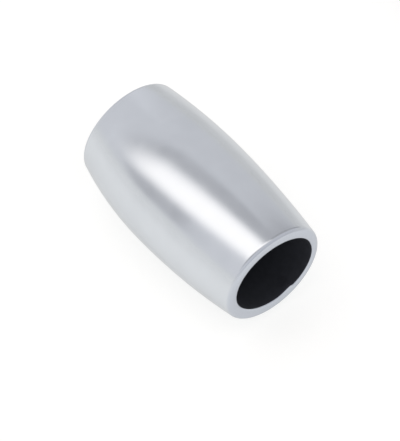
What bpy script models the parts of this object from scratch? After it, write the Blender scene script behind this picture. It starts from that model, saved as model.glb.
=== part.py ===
"""Barrel cord end cap for a garment cord, lying on its side.

One cast metal piece: a crowned barrel whose round mouth faces +X. A straight bore runs in from
the mouth to a flat seat for the cord's knot, and a narrower cord hole runs on through the far end.
Units are metres, +Z is up, and the origin is the point under the middle of the barrel on the
surface that it lies on.
"""

import math

import bpy
from mathutils import Vector

# Outside of the barrel.
LENGTH = 0.01491
BELLY_DIAMETER = 0.00874
BELLY_PLACE = -0.00100
RIM_DIAMETER = 0.00735
RIM_ROUND = 0.00022

# Bore for the knot, open at the mouth.
BORE_DIAMETER = 0.00600
LIP_ROUND = 0.00014
SEAT_FILLET = 0.00035

# Far end: the wall that the knot pulls against, and the cord hole through it.
END_WALL = 0.00220
CORD_HOLE_DIAMETER = 0.00400
CORD_HOLE_ROUND = 0.00030

# Fineness of the turned shape. The belly's level belt reaches under the centre of mass, and the
# half step of turn puts one of its flat sides at the bottom, so that the cap lies still.
SIDES = 24
BELT_LENGTH = 0.00400
FLANK_STEPS = 2
BORE_STEPS = 5
CORNER_STEPS = 4

PLATING_COLOUR = (0.66, 0.68, 0.71, 1.0)
PLATING_ROUGHNESS = 0.24

COLLECTION_NAME = "cord_end_cap"


def clear_scene():
    for item in list(bpy.data.objects):
        bpy.data.objects.remove(item, do_unlink=True)


def plated_metal():
    material = bpy.data.materials.new("satin_silver_plating")
    material.use_nodes = True
    shader = material.node_tree.nodes["Principled BSDF"]
    shader.inputs["Base Color"].default_value = PLATING_COLOUR
    shader.inputs["Metallic"].default_value = 1.0
    shader.inputs["Roughness"].default_value = PLATING_ROUGHNESS
    material.diffuse_color = PLATING_COLOUR
    return material


def straight(start, end, steps):
    """Points from start up to, and without, end."""
    start, end = Vector(start), Vector(end)
    return [start.lerp(end, step / steps) for step in range(steps)]


def rounded(corner, before, after, radius, steps=CORNER_STEPS):
    """An arc in place of a corner, tangent to the lines from it towards before and after."""
    corner = Vector(corner)
    to_before = (Vector(before) - corner).normalized()
    to_after = (Vector(after) - corner).normalized()
    half_angle = to_before.angle(to_after) / 2
    middle = corner + (to_before + to_after).normalized() * (radius / math.sin(half_angle))
    reach = radius / math.tan(half_angle)
    first = corner + to_before * reach - middle
    last = corner + to_after * reach - middle
    sweep = math.pi - 2 * half_angle
    points = []
    for step in range(steps + 1):
        share = step / steps
        blend = first * math.sin((1 - share) * sweep) + last * math.sin(share * sweep)
        points.append(middle + blend / math.sin(sweep))
    return points


def barrel_radius(along):
    """Outside radius at a distance along the axis from the middle: an arc from the belly to each
    rim, level with the other where they meet."""
    crown = (BELLY_DIAMETER - RIM_DIAMETER) / 2
    run = LENGTH / 2 - BELLY_PLACE if along > BELLY_PLACE else LENGTH / 2 + BELLY_PLACE
    arc_radius = (run**2 + crown**2) / (2 * crown)
    return BELLY_DIAMETER / 2 - arc_radius + math.sqrt(arc_radius**2 - (along - BELLY_PLACE) ** 2)


def flank(rim_end, side):
    """Points from the belt's edge on one side towards the rim. They stand proud of the arc by the
    belt's own sag, so that the belly keeps its real diameter."""
    belt_edge = BELLY_PLACE + side * BELT_LENGTH / 2
    proud = BELLY_DIAMETER / 2 - barrel_radius(belt_edge)
    points = []
    for step in range(FLANK_STEPS):
        along = belt_edge + (rim_end - belt_edge) * step / FLANK_STEPS
        points.append(Vector((barrel_radius(along) + proud, along)))
    return points


def profile():
    """Half section of the cap as (radius, distance along the axis), from the mouth's rim round
    the outside to the far end, and back through the cord hole and the bore."""
    mouth = LENGTH / 2
    far = -LENGTH / 2
    seat = far + END_WALL
    rim = RIM_DIAMETER / 2
    bore = BORE_DIAMETER / 2
    cord_hole = CORD_HOLE_DIAMETER / 2

    near_rim = rounded(
        (rim, mouth), (bore, mouth), (barrel_radius(mouth / 2), mouth / 2), RIM_ROUND
    )
    far_rim = rounded(
        (rim, far), (barrel_radius(far / 2), far / 2), (cord_hole, far), RIM_ROUND
    )
    barrel = flank(near_rim[-1].y, 1)[::-1] + flank(far_rim[0].y, -1)

    far_edge = rounded((cord_hole, far), (rim, far), (cord_hole, seat), CORD_HOLE_ROUND)
    seat_edge = rounded((cord_hole, seat), (cord_hole, far), (bore, seat), CORD_HOLE_ROUND)
    seat_corner = rounded((bore, seat), (cord_hole, seat), (bore, mouth), SEAT_FILLET)
    lip = rounded((bore, mouth), (bore, seat), (rim, mouth), LIP_ROUND)
    bore_wall = straight(seat_corner[-1], lip[0], BORE_STEPS)[1:]
    return near_rim + barrel + far_rim + far_edge + seat_edge + seat_corner + bore_wall + lip


def turned(name, points, collection, material):
    """A closed half section turned about Z. Its flat sides touch the true circle from outside, so
    that the size across them is the real diameter."""
    mesh = bpy.data.meshes.new(name)
    corner_share = 1 / math.cos(math.pi / SIDES)
    corners = [(point.x * corner_share, 0.0, point.y) for point in points]
    edges = [(index, (index + 1) % len(corners)) for index in range(len(corners))]
    mesh.from_pydata(corners, edges, [])
    item = bpy.data.objects.new(name, mesh)
    collection.objects.link(item)
    screw = item.modifiers.new("turn", "SCREW")
    screw.axis = "Z"
    screw.angle = math.tau
    screw.steps = SIDES
    screw.render_steps = SIDES
    screw.use_merge_vertices = True
    screw.merge_threshold = 0.000001
    screw.use_smooth_shade = True
    item.data.materials.append(material)
    return item


def main():
    clear_scene()
    collection = bpy.data.collections.new(COLLECTION_NAME)
    bpy.context.scene.collection.children.link(collection)

    cap = turned("barrel", profile(), collection, plated_metal())
    cap.rotation_mode = "ZYX"
    cap.rotation_euler = (0.0, math.radians(90), math.radians(180 / SIDES))
    cap.location = (0.0, 0.0, BELLY_DIAMETER / 2)


main()
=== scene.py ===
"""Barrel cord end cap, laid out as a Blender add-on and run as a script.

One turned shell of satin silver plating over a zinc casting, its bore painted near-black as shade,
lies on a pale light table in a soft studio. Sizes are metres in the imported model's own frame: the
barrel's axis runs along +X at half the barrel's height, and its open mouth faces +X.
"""

import math

import bmesh
import bpy
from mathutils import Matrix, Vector


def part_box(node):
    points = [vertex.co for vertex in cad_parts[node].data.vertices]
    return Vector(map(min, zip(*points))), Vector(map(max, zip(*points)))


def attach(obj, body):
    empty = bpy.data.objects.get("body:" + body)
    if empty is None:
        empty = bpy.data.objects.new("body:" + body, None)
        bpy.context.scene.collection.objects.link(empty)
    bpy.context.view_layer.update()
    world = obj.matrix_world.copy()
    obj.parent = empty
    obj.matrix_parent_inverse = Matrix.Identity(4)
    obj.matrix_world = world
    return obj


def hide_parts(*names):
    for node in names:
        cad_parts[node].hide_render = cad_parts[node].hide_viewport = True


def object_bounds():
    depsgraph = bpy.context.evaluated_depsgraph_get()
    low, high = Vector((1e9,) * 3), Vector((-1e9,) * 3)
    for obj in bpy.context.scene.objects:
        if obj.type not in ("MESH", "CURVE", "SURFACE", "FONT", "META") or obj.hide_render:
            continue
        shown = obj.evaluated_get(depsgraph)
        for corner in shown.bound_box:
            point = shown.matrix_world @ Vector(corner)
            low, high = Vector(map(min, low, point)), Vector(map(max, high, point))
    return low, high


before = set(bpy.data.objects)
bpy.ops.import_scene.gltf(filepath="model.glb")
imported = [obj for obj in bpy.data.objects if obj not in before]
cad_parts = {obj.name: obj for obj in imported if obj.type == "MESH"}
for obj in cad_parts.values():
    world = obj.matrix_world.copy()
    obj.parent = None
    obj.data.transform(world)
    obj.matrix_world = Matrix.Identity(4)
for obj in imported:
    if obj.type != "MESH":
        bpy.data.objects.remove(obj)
CAD_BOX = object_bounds()
BARREL_LOW, BARREL_HIGH = (Vector(corner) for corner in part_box("barrel"))

bl_info = {
    "name": "Barrel cord end cap",
    "version": (1, 0, 0),
    "blender": (4, 5, 0),
    "location": "3D View > Sidebar > Cord End",
    "description": "Models a satin silver barrel cord end cap and sets up its light table",
    "category": "Add Mesh",
}

AXIS_HEIGHT = (BARREL_LOW.z + BARREL_HIGH.z) / 2
CAD_LENGTH = BARREL_HIGH.x - BARREL_LOW.x
CAD_BELLY = BARREL_HIGH.z - BARREL_LOW.z

# Parts of the mesh are found by their place, to within this distance. Doubles lie far closer.
NEAR = 0.00001
DOUBLES = 0.0000005

# Faces across the rounding of a rim and of every other edge.
RIM_SEGMENTS = 6
EDGE_SEGMENTS = 5

# The bore's wall is one long face at first. It is found by its length and by its radius, with
# some room, and is then cut into rings.
BORE_LINE = 0.005
BORE_ROOM = 1.1
BORE_CUTS = 36

# Share of the lip's rounding, counted from the mouth, that keeps the plating colour. Behind it the
# bore's painted shade begins.
LIP_BEFORE_SHADE = 0.4

# Slope of the line along which the mouth's oval is longest.
OVAL_SLOPE = math.radians(-20)

# Share of half the barrel over which the lean of an end fades out.
BOW_REACH = 0.8

# The casting flash grows between two angles round the mouth, in degrees, and drops off in a step
# between two others. It fades out between two depths behind the mouth.
FLASH_GROWTH = (-88, -62)
FLASH_STEP = (-60.5, -59)
FLASH_DEPTHS = (0.0003, 0.0011)


class CordEndSizes(bpy.types.PropertyGroup):
    """Sizes of the cap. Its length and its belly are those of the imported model."""

    length: bpy.props.FloatProperty(
        name="Length",
        description="From the mouth's rim to the far end",
        default=CAD_LENGTH,
        unit="LENGTH",
        precision=5,
    )
    belly_diameter: bpy.props.FloatProperty(
        name="Belly diameter",
        description="Across the barrel where it is widest",
        default=CAD_BELLY,
        unit="LENGTH",
        precision=5,
    )
    belly_place: bpy.props.FloatProperty(
        name="Belly place",
        description="Where the barrel is widest, along the axis from its middle",
        default=-0.00100,
        unit="LENGTH",
        precision=5,
    )
    rim_diameter: bpy.props.FloatProperty(
        name="Rim diameter",
        description="Across both ends, before their edges are rounded",
        default=0.00735,
        unit="LENGTH",
        precision=5,
    )
    rim_round: bpy.props.FloatProperty(
        name="Rim rounding",
        description="Radius of the outer edge at both ends",
        default=0.00034,
        unit="LENGTH",
        precision=5,
    )
    bore_diameter: bpy.props.FloatProperty(
        name="Bore diameter",
        description="Across the mouth and the bore behind it",
        default=0.00587,
        unit="LENGTH",
        precision=5,
    )
    lip_round: bpy.props.FloatProperty(
        name="Lip rounding",
        description="Radius of the mouth's inner edge",
        default=0.00018,
        unit="LENGTH",
        precision=5,
    )
    end_wall: bpy.props.FloatProperty(
        name="End wall",
        description="Thickness of the wall that the knot pulls against",
        default=0.00220,
        unit="LENGTH",
        precision=5,
    )
    seat_fillet: bpy.props.FloatProperty(
        name="Seat fillet",
        description="Radius in the corner at the bottom of the bore",
        default=0.00035,
        unit="LENGTH",
        precision=5,
    )
    cord_hole_diameter: bpy.props.FloatProperty(
        name="Cord hole diameter",
        description="Across the hole that the cord comes in through",
        default=0.00400,
        unit="LENGTH",
        precision=5,
    )
    cord_hole_round: bpy.props.FloatProperty(
        name="Cord hole rounding",
        description="Radius of both edges of the cord hole",
        default=0.00030,
        unit="LENGTH",
        precision=5,
    )
    core_shift: bpy.props.FloatVectorProperty(
        name="Core shift",
        description="How far the casting's core stands off the axis at the mouth, across and up",
        subtype="TRANSLATION",
        unit="LENGTH",
        size=2,
        precision=5,
        default=(0.000078, 0.000010),
    )
    core_oval: bpy.props.FloatProperty(
        name="Core oval",
        description="Share by which the mouth's inner edge is longer one way and shorter the other",
        subtype="FACTOR",
        min=0.0,
        max=0.05,
        default=0.04,
    )
    bow: bpy.props.FloatVectorProperty(
        name="Bow",
        description="How far the mouth and the far end lean aside from the middle, as cast",
        subtype="TRANSLATION",
        unit="LENGTH",
        size=2,
        precision=5,
        default=(0.00010, 0.00019),
    )
    flash_height: bpy.props.FloatProperty(
        name="Casting flash",
        description="How far the leftover flash on the mouth's lower edge stands into the bore",
        default=0.00016,
        unit="LENGTH",
        precision=5,
    )
    sides: bpy.props.IntProperty(
        name="Sides",
        description="Faces round the barrel",
        default=192,
        min=32,
        max=512,
    )
    rings: bpy.props.IntProperty(
        name="Rings",
        description="Faces along the barrel",
        default=48,
        min=8,
        max=128,
    )


class CordEndFinish(bpy.types.PropertyGroup):
    """Colours and sheen of the plating, and the near-black colour painted in the bore as shade."""

    plating_colour: bpy.props.FloatVectorProperty(
        name="Plating colour",
        description="Reflected colour of the satin silver plating",
        subtype="COLOR",
        size=4,
        min=0.0,
        max=1.0,
        default=(0.636, 0.663, 0.694, 1.0),
    )
    plating_roughness: bpy.props.FloatProperty(
        name="Plating roughness",
        description="How far the satin finish blurs its reflections",
        subtype="FACTOR",
        min=0.0,
        max=1.0,
        default=0.20,
    )
    # Near-black colour painted in the bore, the knot seat and the cord hole as shade.
    bore_shade_colour: bpy.props.FloatVectorProperty(
        name="Bore colour",
        description="Colour of the dark cast wall inside the bore",
        subtype="COLOR",
        size=4,
        min=0.0,
        max=1.0,
        default=(0.031, 0.033, 0.040, 1.0),
    )


class CordEndStudio(bpy.types.PropertyGroup):
    """The light table and the camera's place."""

    table_colour: bpy.props.FloatVectorProperty(
        name="Table colour",
        description="Colour of the pale table top",
        subtype="COLOR",
        size=4,
        min=0.0,
        max=1.0,
        default=(0.45, 0.45, 0.45, 1.0),
    )
    table_glow: bpy.props.FloatProperty(
        name="Table glow",
        description="Light that comes up through the table top",
        min=0.0,
        max=2.0,
        default=0.66,
    )
    camera_azimuth: bpy.props.FloatProperty(
        name="Camera azimuth",
        description="Way round the cap: 0 looks along +Y, 90 along -X",
        subtype="ANGLE",
        unit="ROTATION",
        default=math.radians(51.0),
    )
    camera_elevation: bpy.props.FloatProperty(
        name="Camera elevation",
        description="Height of the camera above the table, as an angle",
        subtype="ANGLE",
        unit="ROTATION",
        default=math.radians(54.0),
    )
    camera_distance: bpy.props.FloatProperty(
        name="Camera distance",
        description="From the camera to the point that it looks at",
        unit="LENGTH",
        default=0.300,
    )
    lens: bpy.props.FloatProperty(
        name="Lens",
        description="Focal length in millimetres on a sensor 36 mm wide",
        default=385.8,
    )


# Modelling by hand


def clear_selection():
    if bpy.context.object and bpy.context.object.mode != "OBJECT":
        bpy.ops.object.mode_set(mode="OBJECT")
    bpy.ops.object.select_all(action="DESELECT")


def pick(kind, wanted):
    """Selects the edit mesh's parts of one kind that pass a test on their corners' places, and
    nothing else."""
    bpy.ops.mesh.select_mode(type=kind)
    bpy.ops.mesh.select_all(action="DESELECT")
    mesh = bpy.context.edit_object.data
    work = bmesh.from_edit_mesh(mesh)
    parts = {"VERT": work.verts, "EDGE": work.edges, "FACE": work.faces}[kind]
    found = False
    for part in parts:
        corners = [part.co] if kind == "VERT" else [corner.co for corner in part.verts]
        if wanted(corners):
            part.select_set(True)
            found = True
    work.select_flush_mode()
    bmesh.update_edit_mesh(mesh)
    if not found:
        raise RuntimeError("no " + kind.lower() + " of the cap lies where it should")


def off_axis(corner):
    return math.hypot(corner.y, corner.z - AXIS_HEIGHT)


def ring_at(along, radius):
    """A test for edges that lie on one circle round the barrel's axis."""

    def wanted(corners):
        return all(
            abs(corner.x - along) < NEAR and abs(off_axis(corner) - radius) < NEAR
            for corner in corners
        )

    return wanted


def end_disc(along):
    """A test for the one big face across the axis at a place along it."""

    def wanted(corners):
        return len(corners) > 4 and all(abs(corner.x - along) < NEAR for corner in corners)

    return wanted


def round_ring(along, radius, rounding, corner_angle, segments=EDGE_SEGMENTS):
    """Rounds one ring of edges to a radius, for a corner of a known angle."""
    pick("EDGE", ring_at(along, radius))
    reach = rounding / math.tan(corner_angle / 2)
    bpy.ops.mesh.bevel(
        offset_type="OFFSET", offset=reach, segments=segments, profile=0.5, affect="EDGES"
    )


def arc_at(sizes, along):
    """The run from the belly to the rim on one side, and the radius of the arc between them."""
    crown = (sizes.belly_diameter - sizes.rim_diameter) / 2
    side = 1 if along > sizes.belly_place else -1
    run = sizes.length / 2 - side * sizes.belly_place
    return run, (run**2 + crown**2) / (2 * crown)


def outside(sizes, along):
    """The barrel's outside radius at a distance from the middle."""
    arc = arc_at(sizes, along)[1]
    return sizes.belly_diameter / 2 - arc + math.sqrt(arc**2 - (along - sizes.belly_place) ** 2)


def rim_angle(sizes, end):
    """The angle inside the metal between the barrel and the flat end."""
    run, arc = arc_at(sizes, end)
    return math.pi / 2 + math.asin(run / arc)


def smooth_step(value, low, high):
    share = min(max((value - low) / (high - low), 0.0), 1.0)
    return share * share * (3 - 2 * share)


def raise_flash(sizes):
    """Leaves a thin tongue of casting flash on the mouth's lower edge. It stands into the bore,
    starts with a step and fades out towards the near side."""
    mesh = bpy.context.edit_object.data
    work = bmesh.from_edit_mesh(mesh)
    mouth = sizes.length / 2
    bore = sizes.bore_diameter / 2
    shallow, deep = FLASH_DEPTHS
    for corner in work.verts:
        across = corner.co.y - sizes.core_shift[0]
        height = corner.co.z - AXIS_HEIGHT - sizes.core_shift[1]
        radius = math.hypot(across, height)
        angle = math.degrees(math.atan2(height, across))
        share = smooth_step(angle, *FLASH_GROWTH) * (1 - smooth_step(angle, *FLASH_STEP))
        share *= smooth_step(corner.co.x, mouth - deep, mouth - shallow)
        share *= 1 - smooth_step(radius, bore, bore + sizes.lip_round)
        inward = sizes.flash_height * share / radius
        corner.co.y -= across * inward
        corner.co.z -= height * inward
    bmesh.update_edit_mesh(mesh)


# Finishes

# Grains: how many lie side by side in a millimetre, or in a metre of the table, the layers of
# detail in them, and how strong the fine layers are.
CAST_CLOUD = (0.55, 3.0, 0.55)
CAST_WAVES = (0.9, 2.0, 0.5)
SATIN_SPECKS = (14.0, 2.0, 0.6)
HAIRLINES = (1.0, 4.0, 0.6)
BORE_MOTTLE = (2.2, 4.0, 0.6)
BORE_PITS = (9.0, 3.0, 0.6)
TABLE_HAZE = (40.0, 3.0, 0.5)

# Nearly all values of a grain lie in its span, and most of them in its core.
GRAIN_SPAN = (0.3, 0.7)
GRAIN_CORE = (0.35, 0.65)

# The hairlines run along the barrel, so they are packed more closely round it.
HAIRLINE_PACKING = (0.5, 13.0, 13.0)

# Depths of the relief.
WAVE_DEPTH = 0.0000012
HAIRLINE_DEPTH = 0.0000003
SPECK_DEPTH = 0.0000004
PIT_DEPTH = 0.000005

# The plating's darkest and palest tone as shares of its colour, and what the cloud and the
# specks take from its roughness and add to it.
PLATING_TONES = (0.985, 1.012)
CLOUD_ROUGHNESS = (-0.02, 0.01)
SPECK_ROUGHNESS = (-0.012, 0.012)
PLATING_EDGE_TINT = (0.80, 0.80, 0.80, 1.0)

# The flat ends are darkened to these shares of the plating colour: painted shade. The change lies
# between these millimetres from the middle.
END_SHADE_TONE = (0.83, 0.84, 0.88)
END_SPAN = (7.15, 7.42)

# The bore's painted shade: its darkest and palest tone as shares of its colour, its roughness and
# its gloss.
BORE_SHADE_TONES = (0.92, 1.08)
BORE_ROUGHNESS = (0.72, 0.88)
BORE_GLOSS = 0.12

TABLE_TONE = 0.985
TABLE_ROUGHNESS = (0.6, 0.7)
TABLE_GLOSS = 0.1
GLOW_COLOUR = (1.0, 1.0, 0.980, 1.0)

# The table's glow fades behind the cap and in front of it: a painted pool of light round the cap,
# fading most behind it as painted shade. From here along Y, to there, by this.
GLOW_LOSSES = (
    (0.016, 0.036, 0.34),
    (0.05, 0.20, 0.12),
    (-0.012, -0.050, 0.17),
)


def put(tree, kind, inputs, settings=None):
    """Adds a node with its settings. Each input is given a value or joined to an output."""
    node = tree.nodes.new(kind)
    for name, value in (settings or {}).items():
        setattr(node, name, value)
    for name, value in inputs.items():
        if isinstance(value, bpy.types.NodeSocket):
            tree.links.new(value, node.inputs[name])
        else:
            node.inputs[name].default_value = value
    return node


def reckon(tree, operation, first, second=0.0):
    """The result of one operation of a Math node."""
    node = put(tree, "ShaderNodeMath", {0: first, 1: second}, {"operation": operation})
    return node.outputs[0]


def ranged(tree, value, span, to_span=(0.0, 1.0)):
    """A value carried smoothly from one range to another, and held at its ends."""
    inputs = {
        "Value": value,
        "From Min": span[0],
        "From Max": span[1],
        "To Min": to_span[0],
        "To Max": to_span[1],
    }
    node = put(tree, "ShaderNodeMapRange", inputs, {"interpolation_type": "SMOOTHSTEP"})
    return node.outputs["Result"]


def mixed_colour(tree, share, first, second):
    """Two colours mixed. The Mix node takes them in its sockets 6 and 7."""
    node = put(tree, "ShaderNodeMix", {0: share, 6: first, 7: second}, {"data_type": "RGBA"})
    return node.outputs[2]


def mixed_level(tree, share, first, second):
    """Two levels mixed. The Mix node takes them in its sockets 2 and 3."""
    node = put(tree, "ShaderNodeMix", {0: share, 2: first, 3: second}, {"data_type": "FLOAT"})
    return node.outputs[0]


def grain(tree, place, kind):
    scale, detail, roughness = kind
    inputs = {"Vector": place, "Scale": scale, "Detail": detail, "Roughness": roughness}
    return put(tree, "ShaderNodeTexNoise", inputs).outputs["Fac"]


def relief(tree, height, depth, under=None):
    """A relief of one depth, laid over another where there is one."""
    inputs = {"Height": height, "Distance": depth, "Strength": 1.0}
    if under is not None:
        inputs["Normal"] = under
    return put(tree, "ShaderNodeBump", inputs).outputs["Normal"]


def toned(colour, red, green=None, blue=None):
    """A colour taken to a share of itself, or to one share for each of red, green and blue."""
    shares = (red, red if green is None else green, red if blue is None else blue)
    return [min(level * share, 1.0) for level, share in zip(colour, shares)] + [1.0]


def barrel_places(tree):
    """Places on the cap in millimetres from the middle of its axis."""
    coordinates = tree.nodes.new("ShaderNodeTexCoord")
    inputs = {
        "Vector": coordinates.outputs["Object"],
        "Location": (0.0, 0.0, -1000 * AXIS_HEIGHT),
        "Scale": (1000.0, 1000.0, 1000.0),
    }
    return put(tree, "ShaderNodeMapping", inputs).outputs["Vector"]


def new_material(name):
    material = bpy.data.materials.new(name)
    material.use_nodes = True
    tree = material.node_tree
    return material, tree, tree.nodes["Principled BSDF"]


def satin_silver(finish):
    """Tumbled satin plating: a fine grain, long soft cast waves and faint hairlines, with the flat
    ends darkened as painted shade."""
    material, tree, shader = new_material("satin_silver_plating")
    place = barrel_places(tree)
    colour = finish.plating_colour
    cloud = grain(tree, place, CAST_CLOUD)
    specks = grain(tree, place, SATIN_SPECKS)

    darker, paler = (toned(colour, share) for share in PLATING_TONES)
    tone = mixed_colour(tree, ranged(tree, cloud, GRAIN_CORE), darker, paler)
    # Painted shade: the flat ends get a darker tone than the barrel.
    along = put(tree, "ShaderNodeSeparateXYZ", {"Vector": place}).outputs["X"]
    end_face = ranged(tree, reckon(tree, "ABSOLUTE", along), END_SPAN)
    tone = mixed_colour(tree, end_face, tone, toned(colour, *END_SHADE_TONE))

    least, most = (finish.plating_roughness + change for change in CLOUD_ROUGHNESS)
    rough = ranged(tree, cloud, GRAIN_SPAN, (least, most))
    rough = reckon(tree, "ADD", rough, ranged(tree, specks, GRAIN_SPAN, SPECK_ROUGHNESS))

    packed = put(tree, "ShaderNodeMapping", {"Vector": place, "Scale": HAIRLINE_PACKING})
    hairlines = grain(tree, packed.outputs["Vector"], HAIRLINES)
    normal = relief(tree, grain(tree, place, CAST_WAVES), WAVE_DEPTH)
    normal = relief(tree, hairlines, HAIRLINE_DEPTH, normal)
    normal = relief(tree, specks, SPECK_DEPTH, normal)

    tree.links.new(tone, shader.inputs["Base Color"])
    tree.links.new(rough, shader.inputs["Roughness"])
    tree.links.new(normal, shader.inputs["Normal"])
    shader.inputs["Metallic"].default_value = 1.0
    shader.inputs["Specular Tint"].default_value = PLATING_EDGE_TINT
    material.diffuse_color = colour
    return material


def shade_painted_bore(finish):
    """The bore's wall, knot seat and cord hole: painted shade, a near-black colour, dull, mottled
    and finely pitted.
    """
    material, tree, shader = new_material("bore_painted_shade")
    place = barrel_places(tree)
    colour = finish.bore_shade_colour
    mottle = grain(tree, place, BORE_MOTTLE)
    darker, paler = (toned(colour, share) for share in BORE_SHADE_TONES)
    tone = mixed_colour(tree, ranged(tree, mottle, GRAIN_CORE), darker, paler)
    rough = ranged(tree, mottle, GRAIN_SPAN, BORE_ROUGHNESS)
    pits = relief(tree, grain(tree, place, BORE_PITS), PIT_DEPTH)

    tree.links.new(tone, shader.inputs["Base Color"])
    tree.links.new(rough, shader.inputs["Roughness"])
    tree.links.new(pits, shader.inputs["Normal"])
    shader.inputs["Metallic"].default_value = 0.0
    shader.inputs["Specular IOR Level"].default_value = BORE_GLOSS
    material.diffuse_color = colour
    return material


def pale_table(studio):
    """A pale, faintly hazy table top that glows from below, most under the cap: a painted pool of
    light, fading most behind the cap as painted shade.
    """
    material, tree, shader = new_material("pale_light_table")
    place = tree.nodes.new("ShaderNodeTexCoord").outputs["Object"]
    colour = studio.table_colour
    haze = grain(tree, place, TABLE_HAZE)
    darker = toned(colour, TABLE_TONE)
    tone = mixed_colour(tree, ranged(tree, haze, GRAIN_SPAN), darker, list(colour))
    rough = ranged(tree, haze, GRAIN_SPAN, TABLE_ROUGHNESS)

    # Painted pool of light and shade: the glow is strongest round the cap and fades away from it
    # along Y.
    away = put(tree, "ShaderNodeSeparateXYZ", {"Vector": place}).outputs["Y"]
    lost = 0.0
    for start, end, share in GLOW_LOSSES:
        lost = reckon(tree, "ADD", lost, ranged(tree, away, (start, end), (0.0, share)))
    glow = reckon(tree, "MULTIPLY", reckon(tree, "SUBTRACT", 1.0, lost), studio.table_glow)

    tree.links.new(tone, shader.inputs["Base Color"])
    tree.links.new(rough, shader.inputs["Roughness"])
    tree.links.new(glow, shader.inputs["Emission Strength"])
    shader.inputs["Specular IOR Level"].default_value = TABLE_GLOSS
    shader.inputs["Emission Color"].default_value = GLOW_COLOUR
    return material


# Studio light

WALL_COLOUR = (0.993, 0.990, 1.030, 1.0)
FOOT_COLOUR = (1.000, 0.998, 0.985, 1.0)
SOFTBOX_COLOUR = (1.055, 1.013, 0.985, 1.0)

# Light of the walls and of their foot in front and at the back, and the directions along Y
# between which it changes. The foot ends and the wall begins between these heights.
WALL_LEVELS = (0.867, 0.790)
WALL_SPAN = (-0.84, 1.0)
FOOT_LEVELS = (0.940, 0.800)
FOOT_SPAN = (-0.3, 0.3)
FOOT_HEIGHTS = (0.0, 0.25)

# The back corner beyond the far end is brighter by this much, between these directions along X
# and along Y.
CORNER_LEVELS = (0.0, 0.12)
CORNER_ACROSS = (-0.57, -0.74)
CORNER_BACK = (0.2, 0.5)

# A panel isn't seen in a direction that points less than this far towards it.
EDGE_ON = 0.05


class SoftPanel:
    """A soft-edged panel of the studio, seen by direction from the cap. Its azimuth is counted
    from +X towards +Y, its half sizes are tangents, and its level is the light it gives."""

    def __init__(
        self,
        azimuth,
        elevation,
        roll,
        half_width,
        half_height,
        squareness,
        softness,
        level,
        colour=WALL_COLOUR,
    ):
        turn, rise, roll = math.radians(azimuth), math.radians(elevation), math.radians(roll)
        flat = math.cos(rise)
        self.facing = Vector((flat * math.cos(turn), flat * math.sin(turn), math.sin(rise)))
        right = Vector((-math.sin(turn), math.cos(turn), 0.0))
        up = self.facing.cross(right)
        self.across = right * math.cos(roll) + up * math.sin(roll)
        self.upward = up * math.cos(roll) - right * math.sin(roll)
        self.half_width = half_width
        self.half_height = half_height
        self.squareness = squareness
        self.softness = softness
        self.level = level
        self.colour = colour

    def share(self, tree, direction):
        """How much of a direction the panel fills, from 0 to 1, soft at its edge."""

        def along(axis):
            inputs = {0: direction, 1: axis}
            node = put(tree, "ShaderNodeVectorMath", inputs, {"operation": "DOT_PRODUCT"})
            return node.outputs["Value"]

        ahead = along(self.facing)
        depth = reckon(tree, "MAXIMUM", ahead, EDGE_ON)
        powers = []
        for axis, half in ((self.across, self.half_width), (self.upward, self.half_height)):
            side = reckon(tree, "DIVIDE", along(axis), reckon(tree, "MULTIPLY", depth, half))
            side = reckon(tree, "ABSOLUTE", side)
            powers.append(reckon(tree, "POWER", side, self.squareness))
        reach = reckon(tree, "POWER", reckon(tree, "ADD", *powers), 1 / self.squareness)
        edge = (1 - self.softness / 2, 1 + self.softness / 2)
        inside = ranged(tree, reach, edge, (1.0, 0.0))
        return reckon(tree, "MULTIPLY", inside, reckon(tree, "GREATER_THAN", ahead, EDGE_ON))


DARK_CARD = SoftPanel(
    azimuth=69.8,
    elevation=68.3,
    roll=-58.7,
    half_width=6.0,
    half_height=0.298,
    squareness=6.0,
    softness=0.225,
    level=0.500,
)
SOFTBOX_HOOD = SoftPanel(
    azimuth=216.7,
    elevation=54.0,
    roll=34.8,
    half_width=0.241,
    half_height=1.182,
    squareness=6.0,
    softness=0.246,
    level=0.597,
)
SOFTBOX = SoftPanel(
    azimuth=242.2,
    elevation=69.6,
    roll=73.4,
    half_width=1.06,
    half_height=0.285,
    squareness=1.55,
    softness=0.957,
    level=1.533,
    colour=SOFTBOX_COLOUR,
)


def studio_sky(world):
    """Grey walls that meet the table at its own paleness, a dark card overhead, and an oval
    softbox with a dark hood beside it."""
    world.use_nodes = True
    tree = world.node_tree
    background = tree.nodes["Background"]
    direction = tree.nodes.new("ShaderNodeTexCoord").outputs["Generated"]
    parts = put(tree, "ShaderNodeSeparateXYZ", {"Vector": direction}).outputs
    wall = ranged(tree, parts["Y"], WALL_SPAN, WALL_LEVELS)
    corner = ranged(tree, parts["X"], CORNER_ACROSS, CORNER_LEVELS)
    corner = reckon(tree, "MULTIPLY", corner, ranged(tree, parts["Y"], CORNER_BACK))
    wall = reckon(tree, "ADD", wall, corner)
    foot = ranged(tree, parts["Y"], FOOT_SPAN, FOOT_LEVELS)
    rise = ranged(tree, parts["Z"], FOOT_HEIGHTS)
    light = mixed_level(tree, rise, foot, wall)
    colour = mixed_colour(tree, rise, FOOT_COLOUR, WALL_COLOUR)
    for panel in (DARK_CARD, SOFTBOX_HOOD, SOFTBOX):
        share = panel.share(tree, direction)
        light = mixed_level(tree, share, light, panel.level)
        colour = mixed_colour(tree, share, colour, panel.colour)
    tree.links.new(colour, background.inputs["Color"])
    tree.links.new(light, background.inputs["Strength"])


# Camera and table

SENSOR_WIDTH = 36.0
CLIP_START = 0.01
CLIP_END = 20.0
TABLE_SIZE = 3.0

# How far to the right of the barrel's middle and above it the camera looks.
AIM_RIGHT = 0.000113
AIM_UP = -0.001196


# Operators


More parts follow.
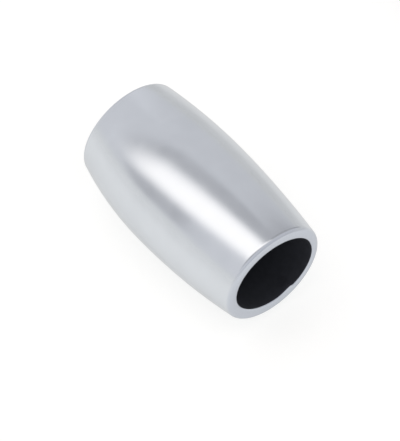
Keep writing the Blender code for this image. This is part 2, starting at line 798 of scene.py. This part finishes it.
class MESH_OT_cord_end_barrel(bpy.types.Operator):
    """Model the cap's shell: a crowned barrel with a bore, a knot seat and a cord hole"""

    bl_idname = "mesh.cord_end_barrel"
    bl_label = "Cord End Barrel"
    bl_options = {"REGISTER", "UNDO"}

    def execute(self, context):
        sizes = context.scene.cord_end_sizes
        finish = context.scene.cord_end_finish
        mouth, far = sizes.length / 2, -sizes.length / 2
        seat = far + sizes.end_wall
        rim = sizes.rim_diameter / 2
        bore = sizes.bore_diameter / 2
        hole = sizes.cord_hole_diameter / 2

        clear_selection()
        bpy.ops.mesh.primitive_cylinder_add(
            vertices=sizes.sides,
            radius=rim,
            depth=sizes.length,
            end_fill_type="NGON",
            location=(0.0, 0.0, AXIS_HEIGHT),
            rotation=(0.0, math.radians(90), 0.0),
        )
        cap = context.object
        cap.name = "silver_barrel"
        cap.data.name = "silver_barrel"
        bpy.ops.object.transform_apply(location=True, rotation=True, scale=True)

        bpy.ops.object.mode_set(mode="EDIT")
        self.crown(sizes)
        self.hollow(mouth, far, seat, rim, bore, hole)
        for end in (mouth, far):
            round_ring(end, rim, sizes.rim_round, rim_angle(sizes, end), RIM_SEGMENTS)
        round_ring(mouth, bore, sizes.lip_round, math.pi / 2)
        round_ring(seat, bore, sizes.seat_fillet, math.pi / 2)
        for end in (seat, far):
            round_ring(end, hole, sizes.cord_hole_round, math.pi / 2)
        self.lean_core(sizes, mouth, bore)
        self.split_bore(bore)
        raise_flash(sizes)
        bpy.ops.mesh.select_all(action="SELECT")
        bpy.ops.mesh.remove_doubles(threshold=DOUBLES)
        bpy.ops.mesh.normals_make_consistent(inside=False)
        bpy.ops.object.mode_set(mode="OBJECT")

        cap.data.materials.append(satin_silver(finish))
        cap.data.materials.append(shade_painted_bore(finish))
        self.paint_bore_shade(cap.data, sizes)
        self.lean_ends(sizes)
        bpy.ops.object.shade_smooth()
        context.view_layer.update()
        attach(cap, "root")
        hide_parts("barrel")
        return {"FINISHED"}

    def crown(self, sizes):
        """Cuts the cylinder into rings and swells each to the barrel's arc."""
        half = sizes.length / 2
        pick("EDGE", lambda corners: abs(corners[0].x - corners[1].x) > half)
        bpy.ops.mesh.subdivide(number_cuts=sizes.rings - 1)
        for ring in range(1, sizes.rings):
            along = -half + sizes.length * ring / sizes.rings
            pick("VERT", lambda corners: abs(corners[0].x - along) < NEAR)
            swell = outside(sizes, along) / (sizes.rim_diameter / 2)
            bpy.ops.transform.resize(
                value=(1.0, swell, swell), center_override=(along, 0.0, AXIS_HEIGHT)
            )

    def hollow(self, mouth, far, seat, rim, bore, hole):
        """Sinks the bore from the mouth and joins it to the far end through the cord hole."""
        pick("FACE", end_disc(mouth))
        bpy.ops.mesh.inset(thickness=rim - bore, depth=0.0)
        bpy.ops.mesh.extrude_region_move(TRANSFORM_OT_translate={"value": (seat - mouth, 0.0, 0.0)})
        bpy.ops.mesh.inset(thickness=bore - hole, depth=0.0)
        pick("FACE", end_disc(far))
        bpy.ops.mesh.inset(thickness=rim - hole, depth=0.0)
        pick("FACE", lambda corners: end_disc(far)(corners) or end_disc(seat)(corners))
        bpy.ops.mesh.bridge_edge_loops()

    def lean_core(self, sizes, mouth, bore):
        """Shifts the mouth's inner edge, so that the bore leans from the seat to its place there,
        and makes it a little oval, along a line that slopes across the mouth."""
        reach = sizes.lip_round + NEAR

        def lip(corners):
            return corners[0].x > mouth - reach and off_axis(corners[0]) < bore + reach

        pick("VERT", lip)
        bpy.ops.transform.translate(value=(0.0, *sizes.core_shift))
        middle = (mouth, sizes.core_shift[0], AXIS_HEIGHT + sizes.core_shift[1])
        oval = (1.0, 1 + sizes.core_oval, 1 - sizes.core_oval)
        bpy.ops.transform.rotate(value=OVAL_SLOPE, orient_axis="X", center_override=middle)
        bpy.ops.transform.resize(value=oval, center_override=middle)
        bpy.ops.transform.rotate(value=-OVAL_SLOPE, orient_axis="X", center_override=middle)

    def split_bore(self, bore):
        """Cuts rings along the bore's wall, close enough to follow the flash and the bow."""

        def wall_line(corners):
            run = abs(corners[0].x - corners[1].x)
            return run > BORE_LINE and off_axis(corners[0]) < bore * BORE_ROOM

        pick("EDGE", wall_line)
        bpy.ops.mesh.subdivide(number_cuts=BORE_CUTS)

    def paint_bore_shade(self, mesh, sizes):
        """Gives the bore, the knot seat and the cord hole the near-black colour painted there as
        shade.
        """
        edge = sizes.length / 2 - sizes.lip_round * LIP_BEFORE_SHADE
        bore = sizes.bore_diameter / 2
        hole = sizes.cord_hole_diameter / 2
        for face in mesh.polygons:
            centre = face.center
            radius = off_axis(centre)
            in_bore = radius < bore * BORE_ROOM and -edge < centre.x < edge
            in_hole = radius < hole + NEAR and centre.x < 0
            face.material_index = 1 if in_bore or in_hole else 0

    def lean_ends(self, sizes):
        """Bows the barrel a little: each end moves aside, and less so towards the middle."""
        half = sizes.length / 2
        bpy.ops.object.mode_set(mode="EDIT")
        for end, lean in zip((half, -half), sizes.bow):
            pick("VERT", lambda corners: abs(corners[0].x - end) < sizes.rim_round + NEAR)
            bpy.ops.transform.translate(
                value=(0.0, lean, 0.0),
                use_proportional_edit=True,
                proportional_edit_falloff="SHARP",
                proportional_size=half * BOW_REACH,
            )
        bpy.ops.object.mode_set(mode="OBJECT")


class SCENE_OT_cord_end_stage(bpy.types.Operator):
    """Set up the pale light table, the soft studio and the camera"""

    bl_idname = "scene.cord_end_stage"
    bl_label = "Cord End Light Table"
    bl_options = {"REGISTER", "UNDO"}

    def execute(self, context):
        studio = context.scene.cord_end_studio
        clear_selection()
        bpy.ops.mesh.primitive_plane_add(size=TABLE_SIZE, location=(0.0, 0.0, 0.0))
        table = context.object
        table.name = "light_table"
        bpy.ops.object.mode_set(mode="EDIT")
        bpy.ops.mesh.select_all(action="SELECT")
        bpy.ops.transform.translate(value=(0.0, 0.0, CAD_BOX[0][2]))
        bpy.ops.object.mode_set(mode="OBJECT")
        table.data.materials.append(pale_table(studio))

        world = bpy.data.worlds.new("soft_studio")
        context.scene.world = world
        studio_sky(world)
        context.scene.view_settings.view_transform = "Standard"

        turn, rise = studio.camera_azimuth, studio.camera_elevation
        back = Vector(
            (math.sin(turn) * math.cos(rise), -math.cos(turn) * math.cos(rise), math.sin(rise))
        )
        right = Vector((math.cos(turn), math.sin(turn), 0.0))
        up = back.cross(right)
        aim = Vector((0.0, 0.0, AXIS_HEIGHT)) + right * AIM_RIGHT + up * AIM_UP
        clear_selection()
        bpy.ops.object.camera_add(location=aim + back * studio.camera_distance)
        camera = context.object
        camera.name = "studio_camera"
        camera.rotation_euler = back.to_track_quat("Z", "Y").to_euler()
        camera.data.lens = studio.lens
        camera.data.sensor_width = SENSOR_WIDTH
        camera.data.clip_start = CLIP_START
        camera.data.clip_end = CLIP_END
        context.scene.camera = camera
        return {"FINISHED"}


class VIEW3D_PT_cord_end(bpy.types.Panel):
    """Sizes, finish and stage of the cord end cap"""

    bl_idname = "VIEW3D_PT_cord_end"
    bl_label = "Cord End"
    bl_space_type = "VIEW_3D"
    bl_region_type = "UI"
    bl_category = "Cord End"

    def draw(self, context):
        layout = self.layout
        for title, group in (
            ("Sizes", context.scene.cord_end_sizes),
            ("Finish", context.scene.cord_end_finish),
            ("Studio", context.scene.cord_end_studio),
        ):
            box = layout.box()
            box.label(text=title)
            for name in group.bl_rna.properties.keys():
                if name not in ("rna_type", "name"):
                    box.prop(group, name)
        layout.operator(MESH_OT_cord_end_barrel.bl_idname)
        layout.operator(SCENE_OT_cord_end_stage.bl_idname)


CLASSES = (
    CordEndSizes,
    CordEndFinish,
    CordEndStudio,
    MESH_OT_cord_end_barrel,
    SCENE_OT_cord_end_stage,
    VIEW3D_PT_cord_end,
)


def register():
    for item in CLASSES:
        bpy.utils.register_class(item)
    bpy.types.Scene.cord_end_sizes = bpy.props.PointerProperty(type=CordEndSizes)
    bpy.types.Scene.cord_end_finish = bpy.props.PointerProperty(type=CordEndFinish)
    bpy.types.Scene.cord_end_studio = bpy.props.PointerProperty(type=CordEndStudio)


def unregister():
    del bpy.types.Scene.cord_end_studio
    del bpy.types.Scene.cord_end_finish
    del bpy.types.Scene.cord_end_sizes
    for item in reversed(CLASSES):
        bpy.utils.unregister_class(item)


def main():
    register()
    bpy.ops.mesh.cord_end_barrel()
    bpy.ops.scene.cord_end_stage()
    bpy.context.view_layer.update()


if __name__ == "__main__":
    main()
